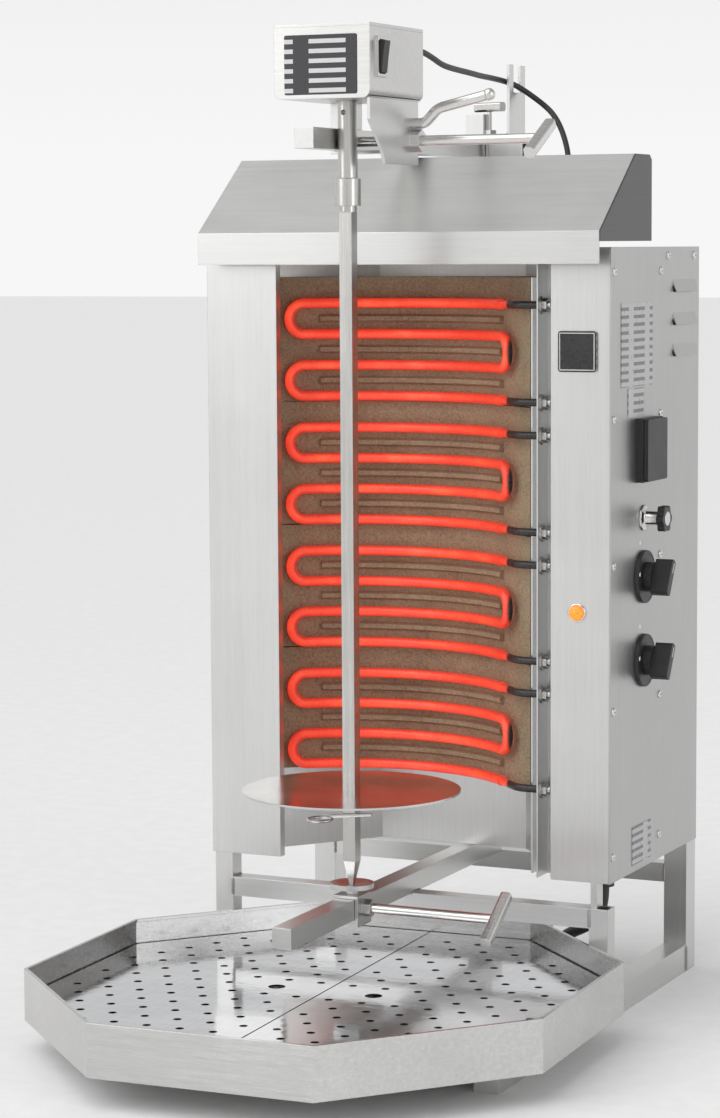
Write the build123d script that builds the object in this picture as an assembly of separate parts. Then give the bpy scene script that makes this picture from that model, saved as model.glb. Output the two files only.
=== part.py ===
from build123d import *
import os
from math import cos, hypot, pi, radians, sin, tan

# Vertical rotisserie broiler: an electric wall of firebricks in a steel stand, with a spit that
# turns in front of it, driven by a motor on an overhead arm, above a drip tray.
# Millimetres.  The model is laid out from the outer left, front, floor corner of the stand
# (x to the right, y to the back, z up) and moved to its base centre when it is written.

# ---------------------------------------------------------------- driving dimensions
STAND_W = 438.0                  # over the two floor rails
RAIL_W, RAIL_H = 25.0, 29.0      # floor rail section
RAIL_FRONT, RAIL_BACK = -285.0, 268.0
POST_FRONT = 240.0               # front face of the two rear posts
TUBE = 20.0                      # front posts, crossbars and arms
WALL = 2.0                       # tube wall
SHEET = 1.5                      # folded panels
BAR_TOP = 114.0                  # top of the front crossbar, which carries the lower arm
BODY_BOTTOM, BODY_TOP = 140.0, 753.0    # left column and control box, up to the hood
COLUMN_W, COLUMN_D, COLUMN_RETURN = 77.0, 52.0, 8.0
BOX_X0, BOX_X1 = 377.0, 440.0    # control box front panel
BOX_BACK, BOX_TOP = 265.0, 769.0
COVER_SPLIT = 153.0              # joint between the front and rear side covers
STRIP_X = 360.0                  # terminal strip beside the bricks
HOOD_FRONT, HOOD_FOLD = -25.0, 785.0
HOOD_TOP, HOOD_TOP_Y0, HOOD_TOP_Y1 = 861.0, 75.0, 122.0
BRICK_TOP, BRICK_PITCH, BRICK_GAP = 739.5, 129.5, 1.0
ARC_X, ARC_Y = 180.0, -74.0      # plan centre of the curved heating wall
ELEMENT_R, FACE_R = 175.0, 184.0
ARC_LEFT, ARC_RIGHT = -36.5, 45.5       # degrees from straight back
PASS_TOP, PASS_PITCH = 27.0, 32.2       # first element pass below a brick's top, and spacing
ELEMENT_D = 10.3
LEAD_Y = 18.0                    # where the straight cold leads run
REFLECT_Y = 160.0                # flat back of the reflector
SPIT_X, SPIT_Y = 216.0, -124.0
ARM_FRONT_LOW, ARM_FRONT_TOP = -281.0, -179.0
UPPER_ARM_X, ARM_TOP_Z0 = 186.0, 864.0    # left side and underside of the upper arm, beside the shaft
MAST_TOP = 911.0
BAR_SQ = 13.0                    # square spit bar
PLATE_Z, PLATE_R = 240.0, 107.5  # meat plate
COLLAR_TOP = 836.0               # where the spit enters the drive shaft
MOTOR_W, MOTOR_D, MOTOR_H = 100.0, 124.0, 70.0
MOTOR_Y0, MOTOR_Z0 = -181.0, 910.0
TRAY_X, TRAY_Y, TRAY_TURN = 219.0, -194.0, 2.1    # tray centre, and how askew it sits
TRAY_HALF_W, TRAY_HALF_D, TRAY_SIDE, TRAY_FRONT = 265.0, 282.0, 118.0, 111.0
TRAY_Z0, TRAY_Z1, GRATE_Z = 29.3, 80.0, 53.0
SWITCH_Y = 95.0                  # socket, knobs and clamp knob in one column
SWITCH_Z = (438.0, 353.0)
STAR_Z, SOCKET_Z = 497.5, 566.5
CABLE_ENTRY = (205.0, 700.0)     # y and z of the motor cable's gland in the control box
CABLE_D, MAINS_D = 6.0, 12.0

MIN3 = (Align.MIN, Align.MIN, Align.MIN)
FROM_END = (Align.CENTER, Align.CENTER, Align.MIN)
parts = {}


# ---------------------------------------------------------------- shape helpers
def block(x0, x1, y0, y1, z0, z1):
    return Pos(x0, y0, z0) * Box(x1 - x0, y1 - y0, z1 - z0, align=MIN3)


def rod(start, direction, radius, length):
    """A cylinder from a point along a direction."""
    return Plane(origin=start, z_dir=direction) * Cylinder(radius, length, align=FROM_END)


def hexagon(start, direction, across, length):
    """A hexagonal prism, such as a nut, from a point along a direction."""
    outline = Plane(origin=start, z_dir=direction) * RegularPolygon(across / 2, 6, major_radius=False)
    return extrude(outline, amount=length, dir=Vector(*direction))


def tube_x(x0, x1, y0, y1, z0, z1):
    return block(x0, x1, y0, y1, z0, z1) - block(
        x0 - 1, x1 + 1, y0 + WALL, y1 - WALL, z0 + WALL, z1 - WALL)


def tube_y(x0, x1, y0, y1, z0, z1):
    """A rectangular tube along y with a closed front end."""
    return block(x0, x1, y0, y1, z0, z1) - block(
        x0 + WALL, x1 - WALL, y0 + WALL, y1 + 1, z0 + WALL, z1 - WALL)


def tube_z(x0, x1, y0, y1, z0, z1):
    return block(x0, x1, y0, y1, z0, z1) - block(
        x0 + WALL, x1 - WALL, y0 + WALL, y1 - WALL, z0 - 1, z1 + 1)


def plan_prism(points, z0, z1):
    """A solid standing on a closed outline given in x and y."""
    return extrude(Pos(0, 0, z0) * make_face(Polyline(*points, close=True)), amount=z1 - z0)


def side_prism(points, x0, x1):
    """A solid along x with a closed outline given in y and z."""
    outline = [(x0, y, z) for y, z in points]
    return extrude(make_face(Polyline(*outline, close=True)), amount=x1 - x0, dir=Vector(1, 0, 0))


def folded(points, thickness=SHEET):
    """The closed outline of a folded sheet, to the left of a line of points."""
    def normal(p, q):
        length = hypot(q[0] - p[0], q[1] - p[1])
        return (-(q[1] - p[1]) / length, (q[0] - p[0]) / length)

    inner = []
    for i, point in enumerate(points):
        before = normal(points[i - 1], point) if i > 0 else None
        after = normal(point, points[i + 1]) if i < len(points) - 1 else None
        a, b = before or after, after or before
        scale = thickness / (1 + a[0] * b[0] + a[1] * b[1])
        inner.append((point[0] + (a[0] + b[0]) * scale, point[1] + (a[1] + b[1]) * scale))
    return list(points) + inner[::-1]


def arc_point(radius, angle):
    """A plan point on the heating wall's arc; the angle is from straight back."""
    return (ARC_X + radius * sin(radians(angle)), ARC_Y + radius * cos(radians(angle)))


# ---------------------------------------------------------------- stand frame
def build_frame():
    right = STAND_W - RAIL_W
    for name, x in (("left", 0), ("right", right)):
        parts["rail_" + name] = tube_y(x, x + RAIL_W, RAIL_FRONT, POST_FRONT, 0, RAIL_H)
        parts["rear_post_" + name] = tube_z(x, x + RAIL_W, POST_FRONT, RAIL_BACK, 0, BODY_BOTTOM)
    bar_bottom = BAR_TOP - TUBE
    parts["front_post_left"] = tube_z(0, TUBE, 0, TUBE, RAIL_H, BODY_TOP)
    parts["front_leg_right"] = tube_z(STAND_W - TUBE, STAND_W, 0, TUBE, RAIL_H, BAR_TOP)
    parts["front_crossbar"] = tube_x(TUBE, STAND_W - TUBE, 0, TUBE, bar_bottom, BAR_TOP)
    parts["rear_crossbar"] = tube_x(RAIL_W, right, POST_FRONT, POST_FRONT + TUBE, 95, 95 + TUBE)
    half = TUBE / 2
    arm_x = (SPIT_X - half, SPIT_X + half)
    parts["lower_arm"] = tube_y(*arm_x, ARM_FRONT_LOW, POST_FRONT, BAR_TOP, BAR_TOP + TUBE)
    upper_x = (UPPER_ARM_X, UPPER_ARM_X + TUBE)
    top = ARM_TOP_Z0 + TUBE
    parts["upper_arm"] = tube_y(*upper_x, ARM_FRONT_TOP, POST_FRONT, ARM_TOP_Z0, top)
    mast = tube_z(*upper_x, POST_FRONT, POST_FRONT + TUBE, 95 + TUBE, MAST_TOP)
    bolt_x, bolt_y = upper_x[1] + 3, POST_FRONT + TUBE / 2
    head = tube_x(upper_x[1] + 6, upper_x[1] + 44, POST_FRONT, POST_FRONT + TUBE, ARM_TOP_Z0, top)
    cap = block(upper_x[0] - 3, upper_x[1] + 44, POST_FRONT, POST_FRONT + TUBE, top, top + 5)
    cap -= block(upper_x[0] + WALL, upper_x[1] - WALL, POST_FRONT + WALL, POST_FRONT + TUBE - WALL,
                 top - 1, top + 6)
    cap += hexagon((bolt_x, bolt_y, top + 5), (0, 0, 1), 13, 5)
    cap -= rod((bolt_x, bolt_y, top - 1), (0, 0, 1), 2.45, 20)
    parts["mast"] = mast + head + cap
    fork_x = upper_x[1] + 32
    slot_y = POST_FRONT - 1
    fork = block(fork_x, fork_x + 3, POST_FRONT - 12, POST_FRONT + 32, top + 5, 962)
    fork -= block(fork_x - 1, fork_x + 4, slot_y, slot_y + 20, 933, 970)
    parts["cable_fork"] = fork


# ---------------------------------------------------------------- panels, hood and control box
def build_panels():
    left = folded([(COLUMN_W, COLUMN_RETURN), (COLUMN_W, -2), (-2, -2), (-2, COLUMN_D)][::-1])
    parts["left_column"] = plan_prism(left, BODY_BOTTOM, BODY_TOP)

    facet = folded([(46, 66), (120, REFLECT_Y), (288, REFLECT_Y), (350, 80)][::-1])
    parts["back_reflector"] = plan_prism(facet, 136, BODY_TOP)

    rise, run = HOOD_TOP - HOOD_FOLD, HOOD_TOP_Y0 - HOOD_FRONT
    outline = [(HOOD_FRONT, BODY_TOP), (HOOD_FRONT, HOOD_FOLD), (HOOD_TOP_Y0, HOOD_TOP),
               (HOOD_TOP_Y1 - 6, HOOD_TOP), (HOOD_TOP_Y1, HOOD_TOP - 5), (HOOD_TOP_Y1, 775)]
    hood = side_prism(folded(outline[::-1]), 0, STAND_W - SHEET)
    inner = 3.0
    end = [(HOOD_FRONT + inner, 775), (HOOD_FRONT + inner, HOOD_FOLD),
           (HOOD_TOP_Y0, HOOD_TOP - inner * rise / run - SHEET / 2),
           (HOOD_TOP_Y1 - 7, HOOD_TOP - inner), (HOOD_TOP_Y1 - SHEET, HOOD_TOP - 7),
           (HOOD_TOP_Y1 - SHEET, 775)]
    hood += side_prism(end, 0, SHEET)
    parts["hood_sheet"] = hood
    full = [(HOOD_FRONT, 775), (HOOD_FRONT, HOOD_FOLD), (HOOD_TOP_Y0, HOOD_TOP),
            (HOOD_TOP_Y1 - 6, HOOD_TOP), (HOOD_TOP_Y1, HOOD_TOP - 5), (HOOD_TOP_Y1, 775)]
    parts["hood_end_right"] = side_prism(full, STAND_W - SHEET, STAND_W)


def louvre(z):
    """A pressed ventilation slot: an opening under a raised lip."""
    return block(BOX_X1 - 5, BOX_X1 + 5, 184, 250, z + 1, z + 8)


def build_control_box():
    inside = BOX_X1 - SHEET
    parts["control_front_panel"] = plan_prism(
        folded([(STRIP_X + 4, 31), (BOX_X0, 31), (BOX_X0, 0), (inside, 0)]),
        BODY_BOTTOM + SHEET, BOX_TOP - SHEET)
    side = block(inside, BOX_X1, 0, COVER_SPLIT, BODY_BOTTOM, BOX_TOP - SHEET)
    side += block(BOX_X0, BOX_X1, 0, COVER_SPLIT, BOX_TOP - SHEET, BOX_TOP)
    for z in SWITCH_Z:
        side -= rod((BOX_X1 - 5, SWITCH_Y, z), (1, 0, 0), 4.2, 10)
    side -= rod((BOX_X1 - 5, SWITCH_Y, STAR_Z), (1, 0, 0), 4.2, 10)
    parts["control_side_cover"] = side
    rear = block(inside, BOX_X1, COVER_SPLIT, BOX_BACK, BODY_BOTTOM, BOX_TOP)
    rear += block(BOX_X0, BOX_X1, BOX_BACK - SHEET, BOX_BACK, BODY_BOTTOM, BOX_TOP)
    rear += block(BOX_X0, BOX_X1, COVER_SPLIT, BOX_BACK, BOX_TOP - SHEET, BOX_TOP)
    for z in (656, 688, 722):
        rear -= louvre(z)
        lip = [(BOX_X1 - 0.5, z + 9.5), (BOX_X1 - 0.5, z + 15), (BOX_X1 + 4.5, z + 1),
               (BOX_X1 + 3.2, z + 1)]
        lip_face = make_face(Polyline(*[(x, 183, h) for x, h in lip], close=True))
        rear += extrude(lip_face, amount=68, dir=Vector(0, 1, 0))
    parts["control_rear_cover"] = rear
    base = block(BOX_X0, inside, SHEET, BOX_BACK - SHEET, BODY_BOTTOM, BODY_BOTTOM + SHEET)
    base -= rod((420, 36, BODY_BOTTOM - 1), (0, 0, 1), 8.2, 5)
    base += block(BOX_X0, BOX_X0 + SHEET, 31 + SHEET, BOX_BACK - SHEET, BODY_BOTTOM + SHEET,
                  BOX_TOP - SHEET)
    base -= rod((BOX_X0 - 1, *CABLE_ENTRY), (1, 0, 0), 5.2, 4)
    base += block(419, 426, 2, 18, BAR_TOP, BODY_BOTTOM)
    parts["control_base"] = base
    strip = block(STRIP_X, STRIP_X + SHEET, 5, 36, BODY_BOTTOM, BODY_TOP)
    strip += block(STRIP_X, STRIP_X + 4, 31, 31 + SHEET, BODY_BOTTOM, BODY_TOP)
    for index in range(4):
        for height in (pass_height(index, 0), pass_height(index, 3)):
            strip -= rod((STRIP_X - 2, LEAD_Y, height), (1, 0, 0), 4.4, 6)
    retainer = block(346.5, 348.5, 24, 40, BODY_BOTTOM, BRICK_TOP)
    parts["terminal_strip"] = strip + retainer


# ---------------------------------------------------------------- heating wall
def pass_height(index, turn):
    return BRICK_TOP - index * BRICK_PITCH - PASS_TOP - turn * PASS_PITCH


def build_brick(index):
    """One firebrick: curved face, raised lozenge ribs between the element passes."""
    top = BRICK_TOP - index * BRICK_PITCH
    bottom = top - BRICK_PITCH + BRICK_GAP
    face_left, face_mid, face_right = (arc_point(FACE_R, a) for a in (-46, 0, 45.8))
    outline = (ThreePointArc(face_left, face_mid, face_right)
               + Polyline(face_right, (345, 26), (345, 78), (286, REFLECT_Y - 3),
                          (122, REFLECT_Y - 3), (48, 63), face_left))
    brick = extrude(Pos(0, 0, bottom) * make_face(outline), amount=top - bottom)
    for turn in range(4):
        z = pass_height(index, turn) - PASS_PITCH / 2
        if z - 5 < bottom:
            continue
        brick += arc_rib(z, 4.5)
    return brick


RIB_LEFT, RIB_SWEEP = -31.0, 72.0       # degrees


def arc_rib(z, half_height):
    """A rib that stands proud of the brick's face, with a pointed section."""
    proud = 5.0
    start = arc_point(FACE_R, RIB_LEFT)
    outward = (-sin(radians(RIB_LEFT)), -cos(radians(RIB_LEFT)), 0)
    corner = [(0.5, half_height), (-proud, half_height / 2), (-proud, -half_height / 2),
              (0.5, -half_height)]
    points = [(start[0] - outward[0] * d, start[1] - outward[1] * d, z + h) for d, h in corner]
    return revolve(make_face(Polyline(*points, close=True)),
                   Axis((ARC_X, ARC_Y, z), (0, 0, -1)), RIB_SWEEP)


def round_at(point, direction, radius):
    return Plane(origin=point, z_dir=direction) * Circle(radius)


def build_element(index):
    """A serpentine tube of four curved passes, its cold leads and its terminal nuts."""
    radius, bend = ELEMENT_D / 2, PASS_PITCH / 2
    left, right = (arc_point(ELEMENT_R, a) for a in (ARC_LEFT, ARC_RIGHT))
    along_left = (cos(radians(ARC_LEFT)), -sin(radians(ARC_LEFT)))
    along_right = (cos(radians(ARC_RIGHT)), -sin(radians(ARC_RIGHT)))
    element = None
    for turn in range(4):
        z = pass_height(index, turn)
        face = round_at((*left, z), (*along_left, 0), radius)
        hot = revolve(face, Axis((ARC_X, ARC_Y, z), (0, 0, -1)), ARC_RIGHT - ARC_LEFT)
        element = hot if element is None else element + hot
    for turn, end, along, sign in ((0, left, along_left, -1), (1, right, along_right, 1),
                                   (2, left, along_left, -1)):
        z = pass_height(index, turn)
        face = round_at((*end, z), (sign * along[0], sign * along[1], 0), radius)
        axis = Axis((*end, z - bend), (-sign * along[1], sign * along[0], 0))
        element += revolve(face, axis, 180)
    pieces = [element]
    washer_x = STRIP_X + SHEET
    for turn in (0, 3):
        z = pass_height(index, turn)
        path = FilletPolyline((*right, z), knee_point(right, along_right, LEAD_Y, z),
                              (washer_x + 9, LEAD_Y, z), radius=22)
        pieces.append(sweep(round_at((*right, z), (*along_right, 0), 3.9), path=path))
        washer = rod((washer_x, LEAD_Y, z), (1, 0, 0), 9.0, 1.4)
        nut = hexagon((washer_x + 1.4, LEAD_Y, z), (1, 0, 0), 12, 4.5)
        stud = rod((washer_x - 2, LEAD_Y, z), (1, 0, 0), 3.95, 13)
        pieces += [washer - stud, nut - stud]
    return pieces


def knee_point(start, along, y, z):
    """Where a line from start along a plan direction reaches a given y."""
    distance = (y - start[1]) / along[1]
    return (start[0] + along[0] * distance, y, z)


def build_heater():
    for index in range(4):
        parts["firebrick_" + str(index + 1)] = build_brick(index)
        parts["heating_element_" + str(index + 1)] = build_element(index)


# ---------------------------------------------------------------- controls and small fittings
def build_controls():
    screws = [(8, z) for z in (745, 600.5, 456, 311.5, 165.7)]
    screws += [(145, z) for z in (745, 600.5, 456, 311.5, 165.7)] + [(167, 760), (248, 760)]
    parts["cover_screws"] = [rod((BOX_X1, y, z), (1, 0, 0), 4.2, 2.2) for y, z in screws]
    plates = [block(BOX_X1, BOX_X1 + 0.6, *spot) for spot in
              ((28, 119, 631, 714), (48, 93, 601, 629), (64, 119, 147, 186))]
    plates.append(block(386, 425, -2.5, 0, 648, 687))
    parts["label_plates"] = plates
    lamp_at = (405, 0, 410)
    parts["signal_lamp"] = rod(lamp_at, (0, -1, 0), 7.2, 4) + rod(lamp_at, (0, -1, 0), 9, 1.5)
    face = BOX_X1
    half_w, half_h = 29.0, 32.0
    base = block(face, face + 8, SWITCH_Y - half_w + 6, SWITCH_Y + half_w + 6,
                 SOCKET_Z - half_h, SOCKET_Z + half_h)
    base -= rod((face + 3, SWITCH_Y + 6, SOCKET_Z), (1, 0, 0), 20, 10)
    base += rod((face + 3, SWITCH_Y + 1, SOCKET_Z), (1, 0, 0), 2.2, 4)
    parts["socket_base"] = base
    lid = block(face + 8.8, face + 13, SWITCH_Y - half_w + 6, SWITCH_Y + half_w + 6,
                SOCKET_Z - half_h + 1, SOCKET_Z + half_h - 1)
    parts["socket_lid"] = fillet(lid.edges().filter_by(Axis.X), 3)
    bezels = []
    for z in SWITCH_Z:
        disc = rod((face, SWITCH_Y, z), (1, 0, 0), 26.7, 4)
        bezels.append(disc - rod((face - 1, SWITCH_Y, z), (1, 0, 0), 4.2, 7))
    parts["switch_bezels"] = bezels
    for number, z in enumerate(SWITCH_Z, 1):
        parts["knob_" + str(number)] = build_knob(z)
    head = rod((face + 18, SWITCH_Y, STAR_Z), (1, 0, 0), 11.5, 7.5)
    for lobe in range(6):
        angle = lobe * pi / 3
        spot = (face + 18, SWITCH_Y + 10 * cos(angle), STAR_Z + 10 * sin(angle))
        head += rod(spot, (1, 0, 0), 4, 7.5)
    star = head + rod((face + 0.4, SWITCH_Y, STAR_Z), (1, 0, 0), 6.8, 19)
    star += rod((face - 12, SWITCH_Y, STAR_Z), (1, 0, 0), 4.0, 14)
    parts["star_knob"] = star + rod((face + 0.3, SWITCH_Y, STAR_Z), (1, 0, 0), 13, 1.5)
    inner = [block(face - 42, face - 3, SWITCH_Y - 22, SWITCH_Y + 22, z - 24, z + 24)
             - rod((face - 14, SWITCH_Y, z), (1, 0, 0), 4.2, 14) for z in SWITCH_Z]
    inner.append(block(BOX_X0 + 4, BOX_X0 + 26, 180, 240, 200, 290))
    parts["inner_controls"] = inner
    mains = rod((420, 36, BODY_BOTTOM), (0, 0, -1), 11, 9)
    mains += rod((420, 36, BODY_BOTTOM - 9), (0, 0, 1), 8, 14)
    entry = rod((BOX_X0, *CABLE_ENTRY), (-1, 0, 0), 8, 10)
    entry += rod((BOX_X0 + 6, *CABLE_ENTRY), (-1, 0, 0), 5, 8)
    parts["cable_glands"] = [mains, entry]


def build_knob(z):
    """A rotary knob: spindle, round neck and a bar grip that stands askew."""
    grip = Box(18, 10, 38)
    grip = fillet(grip.edges().filter_by(Axis.X), 3)
    grip = Pos(BOX_X1 + 21, SWITCH_Y, z) * Rot(X=-30) * grip
    neck = rod((BOX_X1 + 4.4, SWITCH_Y, z), (1, 0, 0), 15, 8)
    return neck + grip + rod((BOX_X1 - 12, SWITCH_Y, z), (1, 0, 0), 4.0, 18)


def t_screw(start, direction, bar_direction, length, radius, bar=62.0, square=11.0):
    """A clamp screw: a rod from a nut to a square cross handle with rounded ends."""
    shaft = rod(start, direction, radius, length + 1)
    far = Vector(*start) + Vector(*direction) * (length + square / 2 - 0.5)
    begin = far - Vector(*bar_direction) * (bar / 2)
    plane = Plane(origin=begin, x_dir=direction, z_dir=bar_direction)
    handle = plane * extrude(RectangleRounded(square, square, 3), amount=bar)
    return shaft + handle


# ---------------------------------------------------------------- motor head
def build_motor_head():
    x0, y0, z0 = SPIT_X - MOTOR_W / 2, MOTOR_Y0, MOTOR_Z0
    x1, y1, z1 = x0 + MOTOR_W, y0 + MOTOR_D, MOTOR_Z0 + MOTOR_H
    shell = fillet(block(x0, x1, y0, y1, z0, z1 - 3).edges().filter_by(Axis.Y).sort_by(Axis.Z)[:2], 8)
    shell -= block(x0 + 2, x1 - 2, y0 + 2, y1 - 2, z0 + 2, z1)
    shell -= rod((SPIT_X, SPIT_Y, z0 - 1), (0, 0, 1), 12, 5)
    switch = (y0 + 14, y0 + 34, z1 - 50, z1 - 12)
    shell -= block(x1 - 4, x1 + 1, switch[0] + 3, switch[1] - 3, switch[2] + 3, switch[3] - 3)
    frame = block(x1, x1 + 2.5, *switch) - block(
        x1 - 1, x1 + 4, switch[0] + 3, switch[1] - 3, switch[2] + 3, switch[3] - 3)
    gland = rod((SPIT_X + 34, y1 - 1, 962), (0, 1, 0), 7, 11)
    parts["motor_housing"] = shell + frame + gland
    parts["motor_cover"] = (block(x0, x1, y0, y1, z1 - 3, z1)
                            - block(x0 + 1.5, x1 - 1.5, y0 + 1.5, y1 - 1.5, z1 - 4, z1 - 1.5))
    mid_y, mid_z = (switch[0] + switch[1]) / 2, (switch[2] + switch[3]) / 2
    rocker = [(-5.6, -15), (2.0, -15), (4.0, 0), (6.5, 15), (-5.6, 15)]
    outline = [(x1 + 2.6 + dx * 0.8, mid_z + dz) for dx, dz in rocker]
    face = make_face(Polyline(*[(x, mid_y - 6.3, z) for x, z in outline], close=True))
    parts["rocker"] = extrude(face, amount=12.6, dir=Vector(0, 1, 0))

    plate = side_prism([(y0, z0), (y0, z0 - 20), (y0 + 29, z0 - 50), (y0 + 35, z0 - 61),
                        (y0 + 112, z0 - 61), (y0 + 112, z0)], x1 - 3, x1)
    plate -= rod((x1 - 4, -80, 872.5), (1, 0, 0), 5.0, 5)
    guide_x = (UPPER_ARM_X, UPPER_ARM_X + TUBE)
    lip, gap = 3.0, 0.3
    guide_y = (y0 + 90, y0 + 112)
    top = ARM_TOP_Z0 + TUBE
    guide = block(guide_x[0] - lip - gap, x1 - 3, *guide_y, ARM_TOP_Z0 - lip - gap, ARM_TOP_Z0 - gap)
    guide += block(guide_x[0] - lip - gap, guide_x[0] - gap, *guide_y, ARM_TOP_Z0 - gap, z0)
    guide += block(guide_x[0] - gap, guide_x[1], *guide_y, top + gap, z0)
    nut = hexagon((x1, -80, 872.5), (1, 0, 0), 19, 9) - rod((x1 - 1, -80, 872.5), (1, 0, 0), 5.0, 12)
    parts["motor_bracket"] = plate + guide + nut
    start = guide_x[1] + 0.6
    tilt = radians(28)
    parts["upper_clamp_screw"] = t_screw((start, -80, 872.5), (1, 0, 0), (0, cos(tilt), sin(tilt)),
                                         392 - start, 4.95)
    grip_path = FilletPolyline((x1, -80, 889), (x1 + 12, -80, 889), (x1 + 26, -80, 903),
                               (x1 + 79, -80, 915), radius=[10, 20])
    grip = sweep(Plane(origin=grip_path @ 0, z_dir=grip_path % 0) * Circle(5.2), path=grip_path)
    parts["push_handle"] = grip + Pos(*(grip_path @ 1)) * Sphere(6.0)
    motor = block(SPIT_X - 30, SPIT_X + 30, SPIT_Y - 30, SPIT_Y + 34, z0 + 2, z0 + 50)
    motor -= rod((SPIT_X, SPIT_Y, z0), (0, 0, 1), 6.1, 20)
    parts["gear_motor"] = motor
    bottom = COLLAR_TOP + 0.5
    shaft = rod((SPIT_X, SPIT_Y, bottom), (0, 0, 1), 9.5, z0 - bottom + 1)
    shaft += rod((SPIT_X, SPIT_Y, z0), (0, 0, 1), 6.0, 18)
    shaft -= rod((SPIT_X, SPIT_Y, bottom - 1), (0, 0, 1), 6.5, 27)
    shaft -= rod((SPIT_X, SPIT_Y - 12, 899), (0, 1, 0), 2.5, 24)
    parts["drive_shaft"] = shaft


# ---------------------------------------------------------------- lower carriage and spit
def build_spit():
    wall, gap = 3.0, 0.3
    half = TUBE / 2 + gap
    y0, y1 = SPIT_Y - 16, SPIT_Y + 16
    low, top = BAR_TOP - gap, BAR_TOP + TUBE + gap
    bracket = block(SPIT_X - half - wall, SPIT_X + half + wall, y0, y1, low - 7, top + wall)
    bracket -= block(SPIT_X - half, SPIT_X + half, y0 - 1, y1 + 1, low, top)
    bracket -= rod((SPIT_X + half - 1, SPIT_Y, 124), (1, 0, 0), 5.0, 20)
    nut_x = SPIT_X + half + wall
    nut = hexagon((nut_x, SPIT_Y, 124), (1, 0, 0), 15, 9)
    nut -= rod((nut_x - 1, SPIT_Y, 124), (1, 0, 0), 5, 12)
    seat = top + wall
    cup_nut = hexagon((SPIT_X, SPIT_Y, seat), (0, 0, 1), 11, 5.7)
    cup = rod((SPIT_X, SPIT_Y, seat + 5.7), (0, 0, 1), 21.5, 5)
    cup -= Pos(SPIT_X, SPIT_Y, seat + 8.2) * Cone(3, 19.5, 3, align=FROM_END)
    parts["lower_bracket"] = [bracket + nut, cup_nut + cup]
    tilt = radians(33)
    start = SPIT_X + TUBE / 2 + 0.6
    parts["lower_clamp_screw"] = t_screw((start, SPIT_Y, 124), (1, 0, 0), (0, cos(tilt), sin(tilt)),
                                         364 - start, 4.95, bar=65)
    tip_z = seat + 8.6
    square = BAR_SQ
    bar = block(SPIT_X - square / 2, SPIT_X + square / 2, SPIT_Y - square / 2, SPIT_Y + square / 2,
                170, 804)
    point = loft([Pos(SPIT_X, SPIT_Y, 170) * Rectangle(square, square),
                  Pos(SPIT_X, SPIT_Y, tip_z) * Rectangle(4, 4)])
    collar = rod((SPIT_X, SPIT_Y, 804), (0, 0, 1), 8.5, 6)
    collar += rod((SPIT_X, SPIT_Y, 810), (0, 0, 1), 12.5, COLLAR_TOP - 810)
    stub = rod((SPIT_X, SPIT_Y, COLLAR_TOP), (0, 0, 1), 6.4, 25)
    parts["spit_bar"] = bar + point + collar + stub
    dish = rod((SPIT_X, SPIT_Y, PLATE_Z - 1), (0, 0, 1), PLATE_R, 2)
    dish -= block(SPIT_X - square / 2, SPIT_X + square / 2, SPIT_Y - square / 2, SPIT_Y + square / 2,
                  PLATE_Z - 5, PLATE_Z + 5)
    pin_z = 214.0
    pin = rod((SPIT_X - 18, SPIT_Y - square / 2 - 2.3, pin_z), (1, 0, 0.1), 2, 44)
    ring = Pos(SPIT_X - 30, SPIT_Y - square / 2 - 2.3, pin_z - 4) * Torus(12, 1.6)
    parts["meat_plate"] = [dish, pin + ring]


# ---------------------------------------------------------------- arm clamp, tray and grates
def build_arm_clamp():
    start = (UPPER_ARM_X + TUBE + 3, POST_FRONT + TUBE / 2, ARM_TOP_Z0 - 2)
    parts["arm_clamp_screw"] = t_screw(start, (0, 0, 1), (cos(0.3), -sin(0.3), 0), 52, 2.4,
                                       bar=36, square=10)


def octagon(shrink):
    """The tray's outline, drawn in by a distance, about its own centre."""
    w, d = TRAY_HALF_W - shrink, TRAY_HALF_D - shrink
    side, front = TRAY_SIDE - shrink * 0.42, TRAY_FRONT - shrink * 0.4
    return [(w, -side), (w, side), (front, d), (-front, d), (-w, side), (-w, -side), (-front, -d),
            (front, -d)]


def on_tray(shape):
    return Pos(TRAY_X, TRAY_Y, 0) * Rot(Z=TRAY_TURN) * shape


def build_tray():
    outer = plan_prism(octagon(0), TRAY_Z0, TRAY_Z1)
    outer -= plan_prism(octagon(SHEET), TRAY_Z0 + SHEET, TRAY_Z1 + 1)
    rim = plan_prism(octagon(0.2), TRAY_Z1 - 3, TRAY_Z1)
    rim -= plan_prism(octagon(3.4), TRAY_Z1 - 4, TRAY_Z1 + 1)
    ledge = plan_prism(octagon(0.4), GRATE_Z - 1.8, GRATE_Z - 0.3) - plan_prism(
        octagon(12), GRATE_Z - 3, GRATE_Z + 1)
    parts["drip_tray"] = on_tray(outer + rim + ledge)
    hole_r, pitch_x, pitch_y, lift_r = 4.0, 34.0, 30.0, 8.5
    thick = 1.5
    inset = octagon(4)
    whole = make_face(Polyline(*inset, close=True))
    spots = []
    for row in range(-8, 9):
        for column in range(-8, 9):
            x = (column + (0.5 if row % 2 else 0)) * pitch_x
            y = row * pitch_y
            spots.append((x, y))
    for name, sign in (("left", -1), ("right", 1)):
        seam = Rectangle(300, 600, align=(Align.MIN if sign > 0 else Align.MAX, Align.CENTER))
        half = whole & (Pos(sign * 0.8, 0) * seam)
        lift = (sign * 51, 0)
        keep = [s for s in spots if s[0] * sign > 12 and inside_tray(*s, 22)
                and hypot(s[0] - lift[0], s[1]) > lift_r + 12]
        half -= Sketch() + [Pos(*s) * Circle(hole_r) for s in keep]
        half -= Pos(*lift) * Circle(lift_r)
        parts["grate_" + name] = on_tray(Pos(0, 0, GRATE_Z) * extrude(half, amount=thick))


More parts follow.
